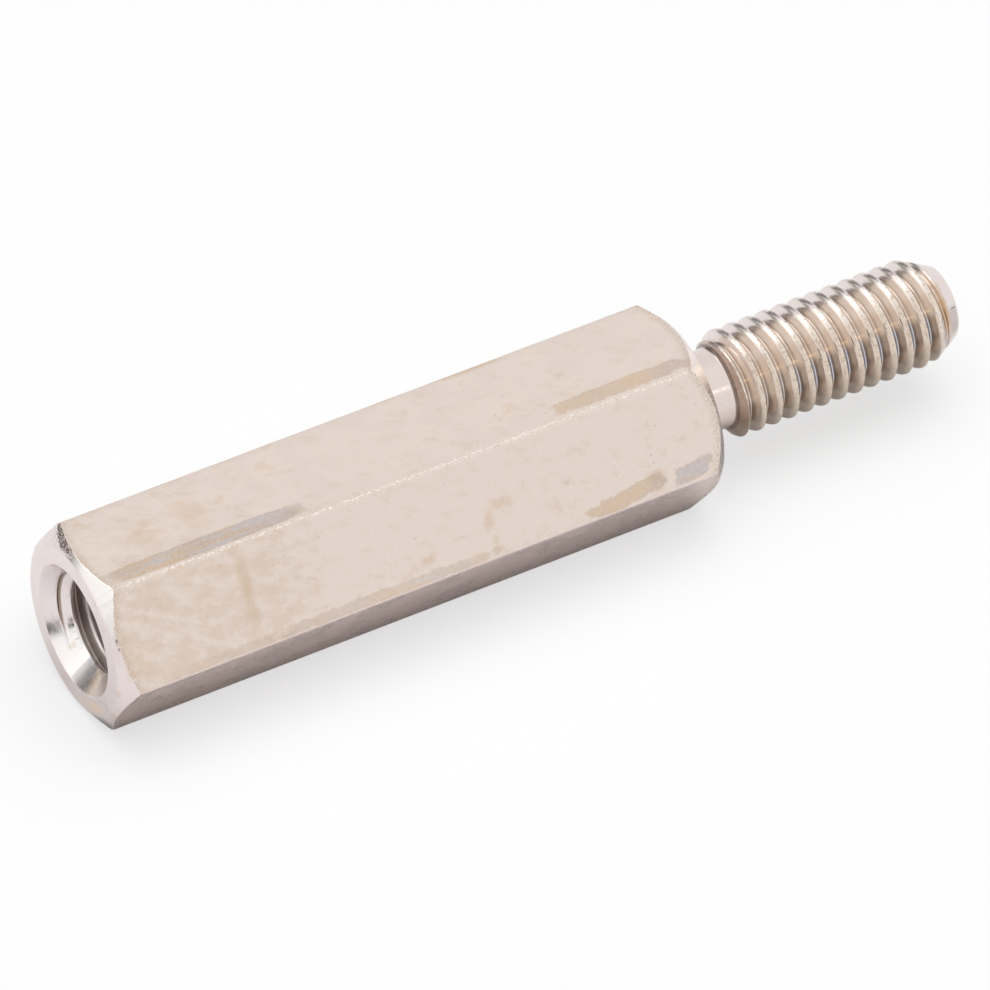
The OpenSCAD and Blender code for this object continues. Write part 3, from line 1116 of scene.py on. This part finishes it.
def lay_thread_films(r, f, m, base):
    """Lays the brown in the stud's roots, partly tarnish and partly painted shade, the painted shade on the
    underside and at the thread's first corner, the painted blue-grey reflection and dark grey shade in the
    lower front roots, and the painted peach reflection of a thin lamp.
    """
    # Brown in the roots along the cut's marks: tarnish, and partly painted shade in these hollows
    base = r.lay(base, f.rim, r.times(r.step(m.depth, *ROOT), r.step(m.cut["Marks"], 0.40, 0.60, 0.2, 0.6)))
    first = r.times(m.threaded, r.fade(m.along, *FIRST_VALLEY, level=0.60))
    base = r.lay(base, f.rim, r.times(first, m.wear["Flank"]))
    # Painted shade on the underside, darker towards the roots
    underside = r.band(m.turn, *UNDERSIDE)
    low = r.step(m.depth, 0.08, 0.27)
    base = r.lay(base, f.specks_and_painted_shade, r.times(r.times(underside, m.wear["Flank"]), r.scaled(low, 0.75, 0.2)))
    base = r.lay(base, f.rim, underside, strength=0.28)
    # Painted shade along the corner where the thread starts from the neck's flank, which also hides a glint
    # there
    base = r.lay(base, f.specks_and_painted_shade, r.band(m.along, *THREAD_CORNER, level=0.75))
    # Lower front roots: painted dark grey shade beside them, a painted blue-grey reflection in their middle,
    # and painted shade on the back flanks
    front = r.times(r.band(m.turn, *FRONT), r.step(m.along, 19.8, 21.5, 0.2, 0.9))
    beside = r.times(front, r.times(m.wear["Flank"], r.step(m.depth, *ROOT_SIDE)))
    base = r.lay(base, f.painted_root_shade, beside, strength=0.55)
    base = r.lay(base, f.root, r.times(front, r.step(m.depth, *ROOT_MIDDLE)))
    base = r.lay(base, f.specks_and_painted_shade, r.times(front, m.wear["Back"]))
    # Painted reflection of a thin lamp: a peach line along the thread's flanks at 138 degrees round
    painted_lamp_line = r.times(r.band(m.turn, *LAMP_LINE, level=0.38), r.step(m.depth, 0.10, 0.22))
    return r.lay(base, f.peach, painted_lamp_line)


def stud_finish(g, f, z):
    """The stud: pale neck, clean bright top, tan flanks darkened underneath by painted shade, and films in
    the roots that are partly painted shade and reflection.
    """
    material, r, shader = new_metal("stud_thread", f.thread_roughness)
    m = stud_masks(r, g)
    base = lay_thread_films(r, f, m, tarnished_thread(r, f, m))
    base = r.lay(base, f.rim, m.nicks, strength=0.5)
    arc = r.times(r.math("RADIANS", m.turn), z.crest / MM)
    unrolled = r.combine(arc, m.along, 0.0)
    base = lay_smudges(r, g, f.tip_stain, unrolled, base, TIP_STAINS)
    base = lay_patches(r, g, f.specks_and_painted_shade, unrolled, base, TIP_SCRATCH, 0.02)
    finish_thread(r, f, shader, base, m.metal, m.cut)
    return material


# Places in the socket: stations and depths in millimetres, and how far round from the front wall, in degrees
INSIDE = (0.55, 0.80)
BELOW_CONE = (0.008, 0.05)
FAR_WALL = (118.0, 150.0)
# Films on the countersink: ((mm round, mm along, 0), half length, half width, lean, ragged, strength)
# Painted highlight: a neutral tint on the countersink where the lamps' reflections fall
CONE_HIGHLIGHT = (((7.98, 0.25, 0), 0.72, 0.60, 0.0, 0.06, 0.9),)
CONE_BLUE = (((7.22, 0.25, 0), 0.30, 0.60, -0.6, 0.08, 0.75),)
CONE_TAN = (
    ((6.72, 0.25, 0), 0.20, 0.60, 0.0, 0.12, 0.60),
    ((8.15, 0.35, 0), 0.07, 0.08, 0.0, 0.08, 0.35),
)
CONE_MAUVE = (((6.18, 0.25, 0), 0.36, 0.60, 0.0, 0.08, 0.65),)
CONE_SPECKS = (((7.05, 0.08, 0), 0.20, 0.10, 0.3, 0.9, 0.25),)
# The radius in millimetres at which the countersink is unrolled for its films
CONE_MIDDLE = 1.56


def socket_finish(g, f, z):
    """The socket's thread: bright on the countersink with a painted highlight, painted shadow in the groove
    that crosses it, and dull inside with painted shade on the far wall.
    """
    material, r, shader = new_metal("socket_thread", f.socket_roughness)
    where = r.group(g.places)
    metal = r.group(g.grain, place=where["Place"])
    on_cone = r.minus(z.mouth / MM, where["Along"])
    in_cut = r.step(r.minus(where["Radius"], on_cone), *BELOW_CONE)
    deepest = r.step(where["Radius"], z.bore_root / MM - 0.07, z.bore_root / MM - 0.035)
    inside = r.step(where["Along"], *INSIDE)
    groove = r.times(in_cut, r.times(deepest, r.minus(1.0, inside)))
    cut = r.group(g.cut, spread=9.0, grain=metal["Grain"], worn=groove, **around_axis(where))
    base = r.lay(f.turned, f.haze, r.step(metal["Mottle"], 0.5, 0.75, last=0.2))
    unrolled = r.combine(r.times(r.math("RADIANS", where["Turn"]), CONE_MIDDLE), where["Along"], 0.0)
    films = ((f.polished, CONE_HIGHLIGHT), (f.blue, CONE_BLUE), (f.tan, CONE_TAN), (f.mauve, CONE_MAUVE))
    for tint, stains in films:
        base = lay_patches(r, g, tint, unrolled, base, stains, 0.06)
    base = lay_patches(r, g, f.specks_and_painted_shade, unrolled, base, CONE_SPECKS, 0.03)
    cut_inside = r.times(in_cut, inside)
    base = r.lay(base, f.flank, r.times(cut_inside, r.step(cut["Marks"], 0.3, 0.7, 0.10, 0.40)))
    # Painted shadow in the groove that crosses the countersink
    base = r.lay(base, f.rim, groove, strength=0.85)
    base = r.lay(base, f.specks_and_painted_shade, groove, strength=0.5)
    # Painted shade on the bore's far wall
    far_wall = r.step(r.apart(where["Turn"], FULL_TURN / 2), *FAR_WALL)
    base = r.lay(base, f.specks_and_painted_shade, r.times(far_wall, cut_inside), strength=0.5)
    finish_thread(r, f, shader, base, metal, cut, inside)
    return material


class STANDOFF_OT_bar(bpy.types.Operator):
    """Build the standoff's bar with its threads and finishes"""

    bl_idname = "standoff.bar"
    bl_label = "Standoff bar"

    def execute(self, context):
        scene = context.scene
        f = scene.standoff_finish
        z = scene.standoff_sizes
        g = Groups(z)
        finishes = [drawn_flats(g, f), turned_faces(g, f), stud_finish(g, f, z), socket_finish(g, f, z)]
        bar = make_bar(z, finishes)
        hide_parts("standoff")
        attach(bar, "root")
        return {"FINISHED"}


# ---------------------------------------------------------------- studio


def view_axes(s):
    """The camera's right, up and back directions."""
    back = Vector(
        (
            math.sin(s.azimuth) * math.cos(s.elevation),
            -math.cos(s.azimuth) * math.cos(s.elevation),
            math.sin(s.elevation),
        )
    )
    level = Vector((math.cos(s.azimuth), math.sin(s.azimuth), 0))
    rise = back.cross(level)
    right = level * math.cos(s.roll) + rise * math.sin(s.roll)
    up = rise * math.cos(s.roll) - level * math.sin(s.roll)
    return right, up, back


def make_camera(s, z):
    """The camera, which looks at its aim point beside the shoulder."""
    right, up, back = view_axes(s)
    aim = Vector((z.body_length, 0, 0)) + right * s.aim_right + up * s.aim_up
    camera = bpy.data.objects.new("camera", bpy.data.cameras.new("camera"))
    camera.data.sensor_width = 36
    camera.data.lens = s.focal / MM
    camera.data.clip_start = 0.01
    camera.data.clip_end = 10
    turn = Matrix((right, up, back)).transposed()
    camera.matrix_world = Matrix.Translation(aim + back * s.distance) @ turn.to_4x4()
    bpy.context.scene.collection.objects.link(camera)
    bpy.context.scene.camera = camera


def make_floor(s, z):
    """A white floor. The camera sees it a little lifted, so that it is white where nothing shades it."""
    reach = 3.0
    low = -z.apothem
    mesh = bpy.data.meshes.new("floor")
    corners = [(-reach, -reach, low), (reach, -reach, low), (reach, reach, low), (-reach, reach, low)]
    mesh.from_pydata(corners, [], [(0, 1, 2, 3)])
    floor = bpy.data.objects.new("floor", mesh)
    material = bpy.data.materials.new("floor")
    material.use_nodes = True
    shader = material.node_tree.nodes["Principled BSDF"]
    shader.inputs["Base Color"].default_value = (*s.floor, 1)
    shader.inputs["Roughness"].default_value = 1
    shader.inputs["Specular IOR Level"].default_value = 0
    r = Recipe(material.node_tree)
    seen = r.add("LightPath").outputs["Is Camera Ray"]
    white = r.add("Emission", {"Color": (1, 1, 1), "Strength": 1.0}).outputs[0]
    lifted = r.add("MixShader", {0: r.times(seen, s.lift), 1: shader.outputs[0], 2: white})
    r.feed(material.node_tree.nodes["Material Output"].inputs["Surface"], lifted.outputs[0])
    mesh.materials.append(material)
    bpy.context.scene.collection.objects.link(floor)


def softbox_mask():
    """How far a direction lies inside a round lamp or screen: 1 inside, 0 outside its soft rim."""
    labels = {"vector": "Direction, Toward", "value": "Half angle, Rim"}
    tree, r, entry, leave = new_group("softbox_mask", labels, {"value": "Mask"})
    facing = r.vector("DOT_PRODUCT", entry["Direction"], r.vector("NORMALIZE", entry["Toward"]))
    off = r.math("ARCCOSINE", r.least(facing, 1.0))
    inner = r.minus(entry["Half angle"], entry["Rim"])
    outer = r.plus(entry["Half angle"], entry["Rim"])
    r.feed(leave["Mask"], r.fade(off, inner, outer))
    return tree


# Lamps and dark screens round the object: (direction, half angle and soft rim in degrees, brightness)
SURROUNDINGS = (
    ((0.375, 0.627, 0.683), 24, 10, 0.96),
    ((-0.34, 0.36, 0.86), 18, 5, 2.2),
    ((-0.66, 0.40, 0.64), 17, 4, 1.7),
    ((-0.95, 0.12, 0.16), 26, 8, 1.23),
    ((-0.10, 0.87, 0.45), 12, 6, 0.2),
    ((0.12, 0.95, 0.26), 10, 5, 0.38),
    ((-0.24, 0.95, 0.18), 12, 4, 0.14),
    ((-0.47, 0.87, 0.10), 11, 4, 0.45),
    ((-0.66, 0.75, 0.08), 9, 4, 0.30),
    ((-0.58, 0.76, 0.27), 8, 4, 0.40),
    ((-0.91, -0.40, 0.10), 9, 3, 0.0),
    ((0.375, -0.754, 0.54), 3.0, 1.5, 2.4),
)


def make_world(s):
    """White surroundings. Metal sees the lamps and dark screens in them, and the floor a wide top light."""
    world = bpy.data.worlds.new("studio")
    bpy.context.scene.world = world
    world.use_nodes = True
    world.node_tree.nodes.clear()
    r = Recipe(world.node_tree)
    direction = r.vector("NORMALIZE", r.add("TexCoord").outputs["Generated"])
    mask = softbox_mask()
    level = 1.0
    for toward, half, rim, brightness in SURROUNDINGS:
        size = dict(half_angle=math.radians(half), rim=math.radians(rim))
        inside = r.group(mask, direction=direction, toward=toward, **size)["Mask"]
        level = r.plus(level, r.times(inside, r.minus(brightness, level)))
    height = r.most(r.separate(direction)[2], 0.0)
    overhead = r.times(r.math("POWER", height, s.top_focus), s.fill * (s.top_focus + 2) / 2)
    path = r.add("LightPath").outputs
    backdrop = r.add("Background", {"Color": (1, 1, 1), "Strength": 1.0}).outputs[0]
    mirrored = r.add("Background", {"Color": (1, 1, 1), "Strength": level}).outputs[0]
    top_light = r.add("Background", {"Color": (1, 1, 1), "Strength": overhead}).outputs[0]
    direct = r.minus(1.0, r.least(path["Diffuse Depth"], 1.0))
    in_metal = r.times(path["Is Glossy Ray"], direct)
    matt_or_metal = r.add("MixShader", {0: in_metal, 1: top_light, 2: mirrored}).outputs[0]
    shown = r.add("MixShader", {0: path["Is Camera Ray"], 1: matt_or_metal, 2: backdrop}).outputs[0]
    r.add("OutputWorld", {"Surface": shown})


class STANDOFF_OT_studio(bpy.types.Operator):
    """Set up the floor, the lamps, the surroundings and the camera"""

    bl_idname = "standoff.studio"
    bl_label = "Studio"

    def execute(self, context):
        s = context.scene.standoff_studio
        z = context.scene.standoff_sizes
        make_floor(s, z)
        make_world(s)
        make_camera(s, z)
        context.scene.view_settings.view_transform = "Standard"
        return {"FINISHED"}


class STANDOFF_PT_panel(bpy.types.Panel):
    """Lists the standoff's pieces and its studio"""

    bl_idname = "STANDOFF_PT_panel"
    bl_label = "Hex standoff"
    bl_space_type = "VIEW_3D"
    bl_region_type = "UI"
    bl_category = "Standoff"

    def draw(self, context):
        for operator in (STANDOFF_OT_bar, STANDOFF_OT_studio):
            self.layout.operator(operator.bl_idname)


CLASSES = (
    StandoffSizes,
    StandoffFinish,
    StandoffStudio,
    STANDOFF_OT_bar,
    STANDOFF_OT_studio,
    STANDOFF_PT_panel,
)
SETTINGS = (
    ("standoff_sizes", StandoffSizes),
    ("standoff_finish", StandoffFinish),
    ("standoff_studio", StandoffStudio),
)


def register():
    for cls in CLASSES:
        bpy.utils.register_class(cls)
    for name, group in SETTINGS:
        setattr(bpy.types.Scene, name, PointerProperty(type=group))


def unregister():
    for name, group in SETTINGS:
        delattr(bpy.types.Scene, name)
    for cls in reversed(CLASSES):
        bpy.utils.unregister_class(cls)


def main():
    register()
    bpy.ops.standoff.bar()
    bpy.ops.standoff.studio()


if __name__ == "__main__":
    main()
